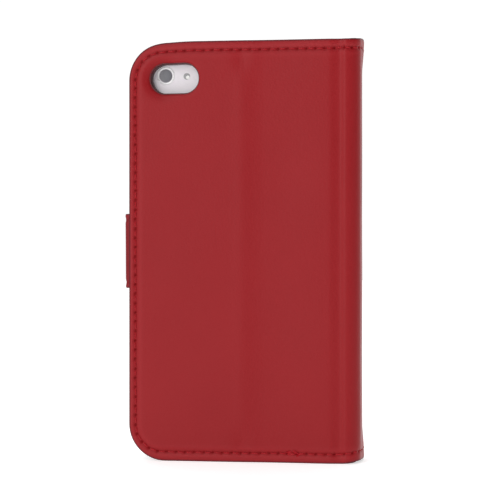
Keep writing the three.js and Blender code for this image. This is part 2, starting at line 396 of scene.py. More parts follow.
def grid_faces(count_s, count_z, hole=None):
    i, j = np.meshgrid(np.arange(count_s - 1), np.arange(count_z - 1), indexing="ij")
    keep = np.ones(i.shape, bool)
    if hole:
        i0, i1, j0, j1 = hole
        keep[i0:i1, j0:j1] = False
    a = (i * count_z + j)[keep]
    return np.stack([a, a + count_z, a + count_z + 1, a + 1], axis=1)


class Sheet:
    """A thin sheet that follows a section, with an outer and an inner face and a cut edge."""

    def __init__(
        self, section, s_lines, z_lines, outer, inner, radii=None, window=None, warp=None
    ):
        self.section, self.outer, self.inner = section, outer, inner
        s, z = np.meshgrid(s_lines, z_lines, indexing="ij")
        if radii:
            bottom, top = radii
            ends = (s_lines[0], z_lines[0], z_lines[-1])
            s, z = round_corner(s, z, *ends, bottom, False)
            s, z = round_corner(s, z, *ends, top, True)
        if warp:
            s = warp(s, z)
        self.shape = s.shape
        self.s, self.z = s.ravel(), z.ravel()
        self.levels = [outer(self.s, self.z), inner(self.s, self.z)]
        self.window = window
        self.hole = self.block(s_lines, z_lines) if window else None

    def block(self, s_lines, z_lines):
        """The grid lines at the ends of the block that is cut out round the window."""
        pairs = ((s_lines, self.window.s_range), (z_lines, self.window.z_range))
        return [int(np.argmin(abs(lines - end))) for lines, ends in pairs for end in ends]

    def build(self, name, materials, mirror=False, rise=None):
        count = self.s.size
        layers = [(self.s, self.z, level) for level in self.levels]
        faces = [grid_faces(*self.shape, self.hole)]
        faces.append(faces[0] + count)
        last_s, last_z = self.shape[0] - 1, self.shape[1] - 1
        edge = ring_of(self.shape[1], 0, last_s, 0, last_z)
        walls, marks = [strip(edge, edge + count)], [0, 0, 1]
        if self.window:
            loop = ring_of(self.shape[1], *self.hole)
            before, total = loop, 2 * count
            for ring in self.window.rings(self, loop):
                here = total + np.arange(loop.size)
                layers.append(ring)
                walls.append(strip(before, here))
                marks.append(int(ring[2].min() > self.window.painted))
                before, total = here, total + loop.size
            walls.append(strip(before, loop + count))
            marks.append(1)
        s, z, level = (np.concatenate(column) for column in zip(*layers))
        lifted = z + rise(s, z) if rise else z
        points = self.section.place(s, lifted, level)
        if mirror:
            points = mirrored(points)
        groups = faces + walls
        face_marks = np.concatenate([np.full(len(g), m) for g, m in zip(groups, marks)])
        obj, used = make_object(name, points, groups, materials, face_marks)
        return obj, s[used], z[used], level[used]


class Window:
    """A hole with round ends. The sheet rounds over its rim and is turned in down to depth."""

    def __init__(self, s, z, s_range, z_range, radius, bevel, depth, ledge=0):
        self.s, self.z = s, z
        self.s_range, self.z_range = s_range, z_range
        self.radius, self.bevel, self.depth = radius, bevel, depth
        self.ledge = ledge
        self.painted = 1.2 * bevel

    def rings(self, sheet, loop):
        """Rings of points from the grid's cut block, over the rim and back to the inner face."""
        across, up = sheet.s[loop] - self.s, sheet.z[loop] - self.z
        hub = np.clip(across, -WINDOW_HALF, WINDOW_HALF)
        reach = np.hypot(across - hub, up)
        out_s, out_z = (across - hub) / reach, up / reach

        def ring(outset, level):
            distance = self.radius + outset
            ring_s = self.s + hub + out_s * distance
            ring_z = self.z + out_z * distance
            return ring_s, ring_z, level(ring_s, ring_z)

        start = self.radius + self.bevel
        made = [
            ring(self.bevel + (reach - start) * share, sheet.outer)
            for share in (0.8, 0.6, 0.42, 0.25, 0.1)
        ]
        for t in (1.0, 0.8, 0.6, 0.42, 0.27, 0.14, 0.05, 0.0):
            down = self.bevel * (1 - math.sqrt(1 - (1 - t) ** 2))
            made.append(ring(self.bevel * t, lambda a, b: sheet.outer(a, b) + down))
        made.append(ring(0, lambda a, b: sheet.outer(a, b) + self.bevel + 0.3))
        made.append(ring(-self.ledge, lambda a, b: sheet.outer(a, b) + self.bevel + 0.35))
        made.append(ring(-self.ledge, lambda a, b: np.full(a.shape, self.depth)))
        made.append(ring(0, lambda a, b: np.full(a.shape, self.depth)))
        made.append(ring(0, sheet.inner))
        return made


# ---- the covers' layers ----


def cover_outer_section():
    """The outer leather of half the case: flat, the pressed groove, round to mid-spine."""
    corner_x = SPINE_X + SPINE_CORNER
    x = np.arange(FREE_X, corner_x, -DENSE)
    half = np.where(x > GROOVE_X, GROOVE_COVER_SIDE, GROOVE_SPINE_SIDE)
    turn = np.clip(np.abs(x - GROOVE_X) / half, 0, 1)
    flat = np.stack([x, BACK_Y - GROOVE_DEPTH * (1 + np.cos(math.pi * turn)) / 2], axis=1)
    corner = arc((corner_x, BACK_Y - SPINE_CORNER), SPINE_CORNER, 90, 180)
    return Section(flat, corner, line((SPINE_X, BACK_Y - SPINE_CORNER), (SPINE_X, MID_Y)))


def cover_lining_section():
    """The lining's outer face along the same half."""
    level = BACK_Y - LINING_OUT
    face_x = SPINE_X + LINING_OUT
    centre = (face_x + LINING_CORNER, level - LINING_CORNER)
    return Section(
        line((FREE_X, level), (centre[0], level)),
        arc(centre, LINING_CORNER, 90, 180),
        line((face_x, centre[1]), (face_x, MID_Y)),
    )


OUTER = cover_outer_section()
LINING = cover_lining_section()


def edge_distance(s, z):
    radius = np.where(z > MID_Z, CORNER_TOP, CORNER_BOTTOM)
    return inside(s, z, HEIGHT - z, radius)


def seam_distance(s, z):
    """Distance in from the line of stitches, negative towards the cut edge."""
    inset = np.where(z > MID_Z, CORNER_TOP - SEAM_TOP, CORNER_BOTTOM - SEAM_BOTTOM)
    return inside(s - SEAM_FREE, z - SEAM_BOTTOM, HEIGHT - SEAM_TOP - z, inset)


def beside_strap(s, z):
    """1 where the layers part to let the strap in, and 0 elsewhere."""
    along = ease(STRAP_LOW - 2.5, STRAP_LOW, z) * (1 - ease(STRAP_HIGH, STRAP_HIGH + 2.5, z))
    return along * (1 - ease(7, 12, s))


def seam_path(end, side, bottom, top, r_bottom, r_top):
    """A seam round three sides: along the top from end, down at side, and back at the bottom."""
    return np.concatenate(
        [
            line((end, top), (side + r_top, top)),
            arc((side + r_top, top - r_top), r_top, 90, 180)[1:],
            line((side, top - r_top), (side, bottom + r_bottom))[1:],
            arc((side + r_bottom, bottom + r_bottom), r_bottom, 180, 270)[1:],
            line((side + r_bottom, bottom), (end, bottom))[1:],
        ]
    )


def stitch_holes(path, pitch=PITCH, wander=0.05):
    """Needle holes evenly along a path, each a little off it as a real seam is."""
    steps = np.hypot(*np.diff(path, axis=0).T)
    along = np.concatenate([[0], np.cumsum(steps)])
    count = max(2, round(along[-1] / pitch))
    wanted = (np.arange(count) + 0.5) * along[-1] / count
    holes = np.stack([np.interp(wanted, along, path[:, k]) for k in (0, 1)], axis=1)
    return holes + np.random.default_rng(3).normal(0, wander, holes.shape)


COVER_SEAM = seam_path(
    OUTER.length, SEAM_FREE, SEAM_BOTTOM, HEIGHT - SEAM_TOP,
    CORNER_BOTTOM - SEAM_BOTTOM, CORNER_TOP - SEAM_TOP,
)
COVER_HOLES = stitch_holes(COVER_SEAM)


def near_hole(s, z, holes, width):
    """1 at a needle hole, falling to 0 within a stitch's width."""
    found = np.zeros(s.shape)
    for hole_s, hole_z in holes:
        near = (np.abs(s - hole_s) < 3 * width) & (np.abs(z - hole_z) < 3 * width)
        distance = np.hypot(s[near] - hole_s, z[near] - hole_z)
        found[near] = np.maximum(found[near], hump(width, distance))
    return found


def margin(s, z):
    """1 in the sewn margin outside the boards and 0 over them."""
    return 1 - ease(1.4, 4.0, edge_distance(s, z))


def surface_press(s, z):
    """How far the outer leather is pressed in by the margin, the seam and the cut edge."""
    edge = edge_distance(s, z)
    on_spine = ease(CORNER_S, FLAT_S, s)
    level = MARGIN_PRESS * margin(s, z) * (1 - 0.8 * on_spine)
    level += SEAM_PRESS * hump(0.62, seam_distance(s, z)) * (1 - 0.5 * on_spine)
    level += EDGE_PRESS * hump(0.28, edge) * (1 - 0.7 * on_spine)
    return level


def gentle_waves(s, z):
    """The slight unevenness of leather glued over board."""
    wave = np.sin(s * 0.21 + 1.3) * np.sin(z * 0.13 + 0.4)
    wave += 0.6 * np.sin(s * 0.09 - z * 0.17)
    return WAVES * wave * ease(2, 12, edge_distance(s, z))


def crease(s, z):
    """The stand crease: a faint ridge, a drop beyond it, and a dent at each end."""
    across = s - (FREE_X - CREASE_X)
    ends = hump(4.5, z - 5) + hump(4.5, HEIGHT - 5 - z)
    drop = CREASE_DROP * ease(-1, 7, across) * (1 - ease(9, 26, across))
    return drop + (CREASE_DENT * ends - CREASE_RIDGE) * hump(2.3, across)


def spine_tuck(z, through):
    """The spine is drawn in between its sewn ends. through runs 0 to 1 into the tucked part."""
    return SPINE_TUCK * through * ease(0, TUCK_RUN, z) * ease(0, TUCK_RUN, HEIGHT - z)


def spine_bulge(s):
    """The spine is a little rounded from cover to cover."""
    return SPINE_BULGE * ease(FLAT_S - 2, OUTER.length, s)


CORNER_S = OUTER.at_x(SPINE_X + SPINE_CORNER)
FLAT_S = CORNER_S + SPINE_CORNER * math.pi / 2
GROOVE_S = OUTER.at_x(GROOVE_X)
WINDOW_S = FREE_X - WINDOW_X + WINDOW_SHIFT[0]
WINDOW_UP = WINDOW_Z + WINDOW_SHIFT[1]


def window_press(s, z):
    across = s - WINDOW_S
    hub = np.clip(across, -WINDOW_HALF, WINDOW_HALF)
    outside = np.hypot(across - hub, z - WINDOW_UP) - WINDOW_RADIUS
    return WINDOW_PRESS * hump(1.7, np.maximum(outside, 0)) * ease(2.5, -4, across)


def back_outer(s, z):
    level = surface_press(s, z) + gentle_waves(s, z) + crease(s, z) + window_press(s, z)
    level += HOLE_PRESS * near_hole(s, z, COVER_HOLES, HOLE_WIDTH)
    level += spine_tuck(z, ease(FLAT_S - 1, OUTER.length - 0.5, s))
    return level - spine_bulge(s)


def front_outer(s, z):
    level = surface_press(s, z) + gentle_waves(s + 7, z + 3)
    level += HOLE_PRESS * near_hole(s, z, COVER_HOLES, HOLE_WIDTH)
    return level + spine_tuck(z, ease(CORNER_S, FLAT_S, s)) - spine_bulge(s)


def skin_inner(s, z, joined=margin):
    """The inner face of the outer leather: it comes down to meet the lining in the margin."""
    return SKIN + (EDGE_LEVEL - SKIN) * joined(s, z)


def lining_outer(s, z, joined=margin):
    """The lining comes up from its flat in the margin. Its section is LINING_OUT deep."""
    return (EDGE_LEVEL + 0.03 - LINING_OUT) * joined(s, z)


def back_margin(s, z):
    """The back cover's margin, where the layers part to let the strap in."""
    return margin(s, z) * (1 - 0.9 * beside_strap(s, z))


def back_skin_inner(s, z):
    return skin_inner(s, z, back_margin)


def back_lining_outer(s, z):
    return lining_outer(s, z, back_margin)


LINING_THICK = LINING_IN - LINING_OUT


def corner_sag(s, z):
    """The top corner is a little longer than a quarter circle."""
    return -CORNER_SAG * hump(5, s - CORNER_TOP + 1.5) * ease(HEIGHT - 14, HEIGHT, z)


def cover_rise(s, z):
    """The closed spine rides up a little between the covers."""
    top = SPINE_RISE * ease(CORNER_S + 1, FLAT_S + 4, s)
    bottom = SPINE_CURL * ease(CORNER_S - 2, FLAT_S - 0.5, s)
    return bottom + (top - bottom) * ease(0, HEIGHT, z) + corner_sag(s, z)


WINDOW_BLOCK = ((3.2, WINDOW_S + 10.3), (WINDOW_UP - 7.9, WINDOW_UP + 7.5))
COLLAR_END = BACK_Y - opening("phone_bay_wide")[1][1] - 0.2  # just short of the phone
WINDOW = Window(
    WINDOW_S, WINDOW_UP, *WINDOW_BLOCK, WINDOW_RADIUS, WINDOW_BEVEL, COLLAR_END, WINDOW_LEDGE
)
LINING_WINDOW = Window(
    WINDOW_S, WINDOW_UP, *WINDOW_BLOCK, WINDOW_RADIUS + 0.5, 0.1, (LINING_OUT + LINING_IN) / 2
)
FINE = 0.52
S_LINES = spaced(
    0, (0.12, 0.24), (0.36, WINDOW.s_range[0]), (FINE, WINDOW.s_range[1]),
    (FINE, GROOVE_S - 3), (0.35, FLAT_S), (FINE, OUTER.length),
)
Z_LINES = spaced(
    0, (0.12, 0.24), (0.4, 4), (FINE, WINDOW.z_range[0]), (FINE, WINDOW.z_range[1]),
    (0.4, HEIGHT - 0.24), (0.12, HEIGHT),
)
COVER_RADII = (CORNER_BOTTOM, CORNER_TOP)


def rounded_outline(x_range, z_range, radius, steps=14):
    """Points round a rectangle with round corners, in x and z."""
    corners = (
        (x_range[1] - radius, z_range[1] - radius, 0),
        (x_range[0] + radius, z_range[1] - radius, 90),
        (x_range[0] + radius, z_range[0] + radius, 180),
        (x_range[1] - radius, z_range[0] + radius, 270),
    )
    turns = [np.radians(np.linspace(a, a + 90, steps)) for _, _, a in corners]
    parts = [
        np.stack([x + radius * np.cos(t), z + radius * np.sin(t)], axis=1)
        for (x, z, _), t in zip(corners, turns)
    ]
    return np.concatenate(parts)


# ---- thread ----

THREAD_SIDES = 6
STITCH_LINE = np.array([0.0, 0.06, 0.18, 0.34, 0.5, 0.66, 0.82, 0.94, 1.0])
STITCH_LIFT = np.array([-0.34, -0.1, 0.07, 0.13, 0.15, 0.13, 0.07, -0.1, -0.34])


def stitches(place, holes, radius):
    """Points and faces of one raised stitch between each two holes.

    place turns arrays of s, z and height above the surface into points.
    """
    points, quads = [], []
    sides = np.arange(THREAD_SIDES)
    turns = 2 * math.pi * sides / THREAD_SIDES
    steps = len(STITCH_LINE)
    for first, second in zip(holes[:-1], holes[1:]):
        along = second - first
        length = np.hypot(*along)
        if length < 0.3:
            continue
        across = np.array([-along[1], along[0]]) / length
        centre = first + along * (0.13 + 0.74 * STITCH_LINE[:, None])
        swell = radius * (0.75 + 0.25 * np.sin(math.pi * STITCH_LINE))
        side = centre[:, None] + across * (swell[:, None] * np.cos(turns))[..., None]
        up = STITCH_LIFT[:, None] + 0.85 * swell[:, None] * np.sin(turns)
        start = sum(len(p) for p in points)
        points.append(place(side[..., 0].ravel(), side[..., 1].ravel(), up.ravel()))
        for k in range(steps - 1):
            ring = start + k * THREAD_SIDES + sides
            quads.append(strip(ring, ring + THREAD_SIDES))
        for k in (0, steps - 1):
            ring = start + k * THREAD_SIDES + sides
            quads.append(np.stack([ring[[0, 0]], ring[[1, 3]], ring[[2, 4]], ring[[3, 5]]], 1))
    return np.concatenate(points), np.concatenate(quads)


def make_thread(name, runs, material, mirror=False):
    """One thread object from several runs of (place, holes, radius)."""
    points, quads, total = [], [], 0
    for place, holes, radius in runs:
        run_points, run_quads = stitches(place, holes, radius)
        points.append(run_points)
        quads.append(run_quads + total)
        total += len(run_points)
    points = np.concatenate(points)
    if mirror:
        points = mirrored(points)
    obj, _ = make_object(name, points, [np.concatenate(quads)], [material], smooth=60)
    return obj


def on_surface(section, level, rise=None, side=1):
    """Places thread on a sheet's outer face, or on its inner face with side -1.

    A sheet with a rise reaches over the spine, and its thread is sunk there.
    """

    def place(s, z, up):
        lifted = z + rise(s, z) if rise else z
        sunk = THREAD_SUNK * ease(CORNER_S, FLAT_S, s) if rise else 0
        return section.place(s, lifted, level(s, z) - side * (up - sunk))

    return place


# ---- materials ----


class Shader:
    """A new material, or a given world, put together from a few kinds of node."""

    def __init__(self, name, world=None):
        self.material = world or bpy.data.materials.new(name)
        self.material.use_nodes = True
        self.nodes, self.links = self.material.node_tree.nodes, self.material.node_tree.links
        self.surface = self.nodes["Background" if world else "Principled BSDF"]

    def feed(self, socket, value):
        """Gives a socket another node's output, or a plain value."""
        if isinstance(value, bpy.types.NodeSocket):
            self.links.new(value, socket)
        elif socket.type == "RGBA":
            socket.default_value = (*value, 1)
        else:
            socket.default_value = value

    def node(self, kind, inputs, **settings):
        """A new node with its settings and inputs, given back as its outputs."""
        node = self.nodes.new("ShaderNode" + kind)
        for setting, value in settings.items():
            setattr(node, setting, value)
        for socket, value in inputs.items():
            self.feed(node.inputs[socket], value)
        return node.outputs

    def set(self, **inputs):
        """Feeds the surface. An underscore in a name stands for a space."""
        for name, value in inputs.items():
            self.feed(self.surface.inputs[name.replace("_", " ")], value)

    def where(self, stretch=(1, 1, 1)):
        """Object coordinates in millimetres."""
        coords = self.node("TexCoord", {})["Object"]
        scale = [PER_METRE * k for k in stretch]
        return self.node("Mapping", {"Vector": coords, "Scale": scale})["Vector"]

    def noise(self, scale, detail, stretch=(1, 1, 1)):
        inputs = {
            "Vector": self.where(stretch), "Scale": scale, "Detail": detail, "Roughness": 0.55,
        }
        return self.node("TexNoise", inputs)["Fac"]

    def cells(self, scale):
        inputs = {"Vector": self.where(), "Scale": scale, "Smoothness": 0.35}
        return self.node("TexVoronoi", inputs, feature="SMOOTH_F1")["Distance"]

    def ramp(self, value, from_low, from_high, to_low, to_high):
        inputs = {
            "Value": value, "From Min": from_low, "From Max": from_high,
            "To Min": to_low, "To Max": to_high,
        }
        return self.node("MapRange", inputs)["Result"]

    def mix(self, factor, first, second):
        """A colour between two colours."""
        return self.node("Mix", {0: factor, 6: first, 7: second}, data_type="RGBA")[2]

    def math(self, kind, first, second):
        return self.node("Math", {0: first, 1: second}, operation=kind)[0]

    def bump(self, height, strength, depth):
        inputs = {"Height": height, "Strength": strength, "Distance": depth / PER_METRE}
        self.set(Normal=self.node("Bump", inputs)["Normal"])

    def attribute(self, name):
        """A number painted on the mesh, and 0 where there is none."""
        return self.node("Attribute", {}, attribute_name=name)["Fac"]


def leather(name, colour, dark, light, roughness, grain, depth, specular):
    """Coated leather: fine pebbled grain, cloudy colour, painted shade in the hollows and a painted highlight, partly
    wear, on the crests.
    """
    shader = Shader(name)
    cloud, fine, pebble = shader.noise(0.045, 2), shader.noise(2.2, 4), shader.cells(grain)
    tone = shader.mix(shader.ramp(cloud, 0.3, 0.7, 0, 0.45), colour, dark)
    tone = shader.mix(shader.ramp(fine, 0.35, 0.75, 0, 0.2), tone, light)
    # painted highlight, partly wear: the crests beside the seam are lightened
    tone = shader.mix(shader.math("MULTIPLY", shader.attribute("crest"), 0.5), tone, light)
    # painted shade: the hollows (needle holes, the seam line, the window's rim) are darkened towards a near-black red
    # and lose their shine
    hollow = shader.attribute("hollow")
    tone = shader.mix(hollow, tone, (dark[0] * 0.6, 0.0006, 0.002))
    # darker along the cut edge, and painted shade where the strap bends round at its root
    rim = shader.math("MAXIMUM", shader.attribute("rim"), shader.attribute("bend"))
    shader.set(
        Base_Color=shader.mix(rim, tone, (0.07, 0.008, 0.014)),
        Roughness=shader.ramp(fine, 0.3, 0.7, roughness - 0.05, roughness + 0.07),
        Specular_IOR_Level=shader.ramp(hollow, 0, 1, specular, 0.02),
    )
    shader.bump(shader.math("ADD", pebble, shader.math("MULTIPLY", fine, 0.5)), 0.5, depth)
    return shader.material


def patterned(shader, pattern, dull, bright, rough, relief):
    """A surface whose colour, roughness and relief all follow one pattern."""
    shader.set(
        Base_Color=shader.mix(pattern, dull, bright), Roughness=shader.ramp(pattern, *rough)
    )
    shader.bump(pattern, *relief)
    return shader.material


def edge_paint():
    """The dark painted cut edge of the leather."""
    shader = Shader("edge_paint")
    streak = shader.noise(1.4, 4)
    tone = shader.mix(
        shader.ramp(streak, 0.35, 0.7, 0, 1), (0.035, 0.006, 0.008), (0.11, 0.012, 0.016)
    )
    shader.set(Base_Color=tone, Roughness=shader.ramp(streak, 0.3, 0.7, 0.4, 0.6))
    shader.bump(streak, 0.6, 0.06)
    return shader.material


def thread_material():
    """Twisted sewing thread."""
    shader = Shader("sewing_thread")
    inputs = {"Vector": shader.where(), "Scale": 1.1, "Distortion": 1.2}
    strand = shader.node("TexWave", inputs, bands_direction="DIAGONAL")["Fac"]
    shader.set(Specular_IOR_Level=0.2)
    colours = (0.28, 0.003, 0.008), (0.44, 0.01, 0.017)
    return patterned(shader, strand, *colours, (0, 1, 0.5, 0.38), (0.7, 0.05))


def board_material():
    """Pressed grey-brown fibre board."""
    shader = Shader("pressed_board")
    fibres = shader.noise(1.8, 6, (1, 1, 0.35))
    colours = (0.16, 0.13, 0.1), (0.38, 0.33, 0.27)
    return patterned(shader, fibres, *colours, (0.3, 0.7, 0.8, 0.95), (0.6, 0.08))


def plastic_material():
    """Fine matte black plastic, with faint scuffs."""
    shader = Shader("moulded_plastic")
    scuff = shader.noise(0.9, 5, (0.3, 1, 2.2))
    shader.set(
        Base_Color=shader.mix(scuff, (0.009, 0.009, 0.01), (0.022, 0.022, 0.024)),
        Roughness=shader.ramp(scuff, 0.35, 0.7, 0.34, 0.5),
    )
    shader.bump(shader.noise(5.5, 2), 0.35, 0.03)
    return shader.material


def foam_material():
    """Off-white foam tape."""
    shader = Shader("foam_tape")
    colours = (0.74, 0.72, 0.68), (0.5, 0.48, 0.44)
    return patterned(shader, shader.cells(3.2), *colours, (0, 1, 0.9, 0.7), (0.7, 0.1))


def steel_material():
    """Nickel-plated steel with a brushed grain."""
    shader = Shader("satin_steel")
    shader.set(Metallic=1)
    brushed = shader.noise(2.5, 5, (0.15, 1, 4))
    colours = (0.42, 0.43, 0.44), (0.66, 0.67, 0.68)
    return patterned(shader, brushed, *colours, (0.3, 0.7, 0.24, 0.42), (0.3, 0.02))


RED = (0.30, 0.0085, 0.012)
RED_DARK = (0.27, 0.007, 0.01)
RED_LIGHT = (0.37, 0.022, 0.028)
outer_leather = leather("outer_leather", RED, RED_DARK, RED_LIGHT, 0.4, 1.5, 0.05, 0.19)
lining_leather = leather(
    "lining_leather", (0.2, 0.009, 0.013), (0.165, 0.008, 0.011), (0.28, 0.02, 0.026),
    0.58, 2.3, 0.09, 0.35,
)
cut_edge = edge_paint()
thread_red = thread_material()
pressed_board = board_material()


# ---- the covers' leather ----

GROOVE_BLEND = 1.5  # the leather bends over this much on each side of a hinge
BLEND_START = tuple(np.array([HINGE_X + GROOVE_BLEND, MID_Y, 0]) / PER_METRE)
BLEND_END = tuple(np.array([HINGE_X - GROOVE_BLEND, MID_Y, 0]) / PER_METRE)
OUTER_LAYERS = (outer_leather, cut_edge)
INNER_LAYERS = (lining_leather, cut_edge)


def shade_sheet(
    obj, s, z, level, holes, edge=edge_distance, seam=seam_distance, more_hollow=0
):
    """Painted shade in the seam's hollows and a painted highlight, partly wear, on the crests beside it."""
    from_seam, from_edge = seam(s, z), edge(s, z)
    hollow = near_hole(s, z, holes, 0.43) + 0.12 * hump(0.45, from_seam)
    # painted shade where the sheet lies deep under its outer line, as over the window's rim
    hollow += 0.35 * ease(0.9, 1.6, level) + more_hollow
    crest = hump(0.65, from_seam + 1.0) + 0.45 * hump(0.7, from_seam - 1.5)
    paint(obj, "hollow", np.clip(hollow, 0, 1))
    paint(obj, "crest", np.clip(crest, 0, 1))
    paint(obj, "rim", hump(0.33, from_edge))


def finish_piece(obj, slot, *nodes):
    if nodes:
        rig.replaces(obj, *nodes)
    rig.slot(obj, slot)
    return obj


def hinge_blend(obj, cover):
    """Lets a sheet bend in the groove between a cover and the spine."""
    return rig.blend(obj, cover, "spine", start=BLEND_START, end=BLEND_END)


def build_outer_leather():
    for side, outer, inner, window in (
        ("back", back_outer, back_skin_inner, WINDOW), ("front", front_outer, skin_inner, None),
    ):
        sheet = Sheet(OUTER, S_LINES, Z_LINES, outer, inner, COVER_RADII, window)
        name = side + "_cover_leather"
        obj, s, z, level = sheet.build(name, OUTER_LAYERS, side == "front", cover_rise)
        # painted shade beside the window's free-edge end, where the leather is drawn in
        pressed = 0.5 * window_press(s, z) if window else 0
        shade_sheet(obj, s, z, level, COVER_HOLES, more_hollow=pressed)
        finish_piece(obj, "outer_leather", side + "_skin", "spine_skin")
        hinge_blend(obj, side + "_cover")


def tack_holes():
    """Where the seam was started and ended: a few stitches sewn over the first ones."""
    middle = FREE_X + 16
    offsets = np.array([-2.9, -0.4, -2.4, 1.2, -0.7, 1.9, 0.2, 3.4])
    heights = SEAM_BOTTOM + np.array([0.1, 0.9, -0.5, 0.2, 1.15, -0.45, -0.5, 0.35])
    return np.stack([middle + offsets, heights], axis=1)


def build_cover_thread():
    for side, outer in (("back", back_outer), ("front", front_outer)):
        place = on_surface(OUTER, outer, cover_rise)
        runs = [(place, COVER_HOLES, THREAD)]
        if side == "back":
            runs.append((place, tack_holes(), 1.3 * THREAD))
        obj = make_thread(side + "_seam_thread", runs, thread_red, side == "front")
        hinge_blend(finish_piece(obj, "outer_leather"), side + "_cover")


# ---- the covers' lining ----

LINING_CORNER_S = FREE_X - (SPINE_X + LINING_OUT + LINING_CORNER)
LINING_S = spaced(
    0, (0.12, 0.24), (0.46, WINDOW.s_range[0]), (0.8, WINDOW.s_range[1]),
    (0.8, LINING_CORNER_S - 4), (0.4, LINING_CORNER_S + 3), (0.8, LINING.length),
)
LINING_Z = spaced(
    0, (0.12, 0.24), (0.5, 4), (0.8, WINDOW.z_range[0]), (0.8, WINDOW.z_range[1]),
    (0.5, HEIGHT - 0.24), (0.12, HEIGHT),
)
LINING_HOLES = COVER_HOLES[COVER_HOLES[:, 0] < LINING.length - 0.4]


def lining_rise(s, z):
    spine = SPINE_RISE * ease(LINING_CORNER_S - 1, LINING_CORNER_S + 5, s)
    return spine + corner_sag(s, z)


def soft_inner(s, z, outer):
    """The lining's inner face, pressed in along the stitches and rounded at its edge."""
    press = 0.14 * hump(0.6, seam_distance(s, z)) + 0.12 * hump(0.25, edge_distance(s, z))
    press += 0.16 * near_hole(s, z, COVER_HOLES, HOLE_WIDTH)
    return outer(s, z) + LINING_THICK - press


def back_lining_inner(s, z):
    return soft_inner(s, z, back_lining_outer) - 0.02 * np.sin(s * 0.31) * np.sin(z * 0.17)


def front_lining_inner(s, z):
    return soft_inner(s, z, lining_outer)


def build_lining():
    for side, outer, inner, window in (
        ("back", back_lining_outer, back_lining_inner, LINING_WINDOW),
        ("front", lining_outer, front_lining_inner, None),
    ):
        sheet = Sheet(LINING, LINING_S, LINING_Z, outer, inner, COVER_RADII, window)
        name = side + "_cover_lining"
        obj, s, z, level = sheet.build(name, INNER_LAYERS, side == "front", lining_rise)
        shade_sheet(obj, s, z, level * 0, LINING_HOLES)
        finish_piece(obj, "lining_leather", side + "_lining", "spine_lining")
        hinge_blend(obj, side + "_cover")
    inner = on_surface(LINING, back_lining_inner, lining_rise, side=-1)
    obj = make_thread("back_lining_thread", [(inner, LINING_HOLES, THREAD)], thread_red)
    hinge_blend(finish_piece(obj, "lining_leather"), "back_cover")


# ---- the pockets ----

NOTCH_SETBACK = 0.45  # how far out of the pocket the thumb notch's centre lies, in radii
NOTCH_ROUND = 1.1
MOUTH_SEAM = 1.8


class Pocket:
    """A flat pocket sewn into the front cover's margin, with its mouth towards the spine."""

    def __init__(self, node, order, notch):
        box_low, box_high = low(node), high(node)
        self.node, self.notch = node, notch
        self.inset = FREE_X - box_high[0]
        self.mouth = FREE_X - box_low[0]
        self.level = box_low[1] - FRONT_Y
        self.thick = box_high[1] - box_low[1]
        self.edge_level = EDGE_LEVEL + 0.5 + 0.42 * order

    def cut(self, z):
        """Depth of the thumb notch at a height."""
        reach = np.sqrt(np.maximum(self.notch**2 - (z - MID_Z) ** 2, 0))
        depth = reach - NOTCH_SETBACK * self.notch
        return (depth + np.sqrt(depth**2 + NOTCH_ROUND**2)) / 2 - NOTCH_ROUND / 8

    def warp(self, s, z):
        return s - self.cut(z) * ease(self.mouth - 16, self.mouth, s)

    def from_mouth(self, s, z):
        return self.mouth - self.cut(z) - s

    def outer(self, s, z):
        """The face towards the front cover."""
        level = self.level + (self.edge_level - self.level) * margin(s, z)
        return level + self.rim(s, z)

    def inner(self, s, z):
        thick = self.thick - 0.08 * margin(s, z)
        level = self.level + (self.edge_level - self.level) * margin(s, z) + thick
        level -= 0.12 * hump(0.5, self.from_mouth(s, z) - MOUTH_SEAM)
        level -= 0.12 * hump(0.6, seam_distance(s, z))
        return level - self.rim(s, z)

    def rim(self, s, z):
        """The mouth is a folded edge, so the two faces round over to meet there."""
        t = np.clip(self.from_mouth(s, z) / (self.thick / 2), 0, 1)
        return 0.92 * self.thick / 2 * (1 - np.sqrt(1 - (1 - t) ** 2))

    def mouth_holes(self):
        z = np.linspace(3.4, HEIGHT - 3.4, 900)
        path = np.stack([self.mouth - self.cut(z) - MOUTH_SEAM, z], axis=1)
        return stitch_holes(path, SMALL_PITCH, 0.03)

    def build(self):
        near = self.mouth
        s_lines = spaced(
            self.inset, (0.12, self.inset + 0.24), (0.6, 4.5), (1.0, near - 3),
            (0.3, near - 0.3), (0.06, near),
        )
        z_lines = spaced(
            self.inset, (0.12, self.inset + 0.24), (0.6, 5), (0.75, HEIGHT - 5),
            (0.6, HEIGHT - self.inset - 0.24), (0.12, HEIGHT - self.inset),
        )
        radii = (CORNER_BOTTOM - self.inset, CORNER_TOP - self.inset)
        sheet = Sheet(
            OUTER, s_lines, z_lines, self.outer, self.inner, radii, warp=self.warp
        )
        obj, s, z, level = sheet.build(self.node + "_leather", INNER_LAYERS, True)
        holes = self.mouth_holes()
        # painted highlight, partly wear, along the folded mouth and beside the seam; painted shade in the needle holes
        wear_and_highlight = 0.6 * hump(0.5, self.from_mouth(s, z)) + 0.4 * hump(0.5, seam_distance(s, z) + 1.2)
        paint(obj, "crest", np.clip(wear_and_highlight, 0, 1))
        paint(obj, "hollow", 0.8 * near_hole(s, z, np.concatenate([holes, COVER_HOLES]), 0.4))
        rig.ride(finish_piece(obj, "lining_leather", self.node), "front_cover")
        place = on_surface(OUTER, self.inner, side=-1)
        thread = make_thread(self.node + "_thread", [(place, holes, SMALL_THREAD)], thread_red, True)
        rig.ride(finish_piece(thread, "lining_leather"), "front_cover")


POCKETS = [
    Pocket("banknote_pocket", 0, 8),
    Pocket("card_pocket_rear", 1, 9),
    Pocket("card_pocket_front", 2, 9),
]


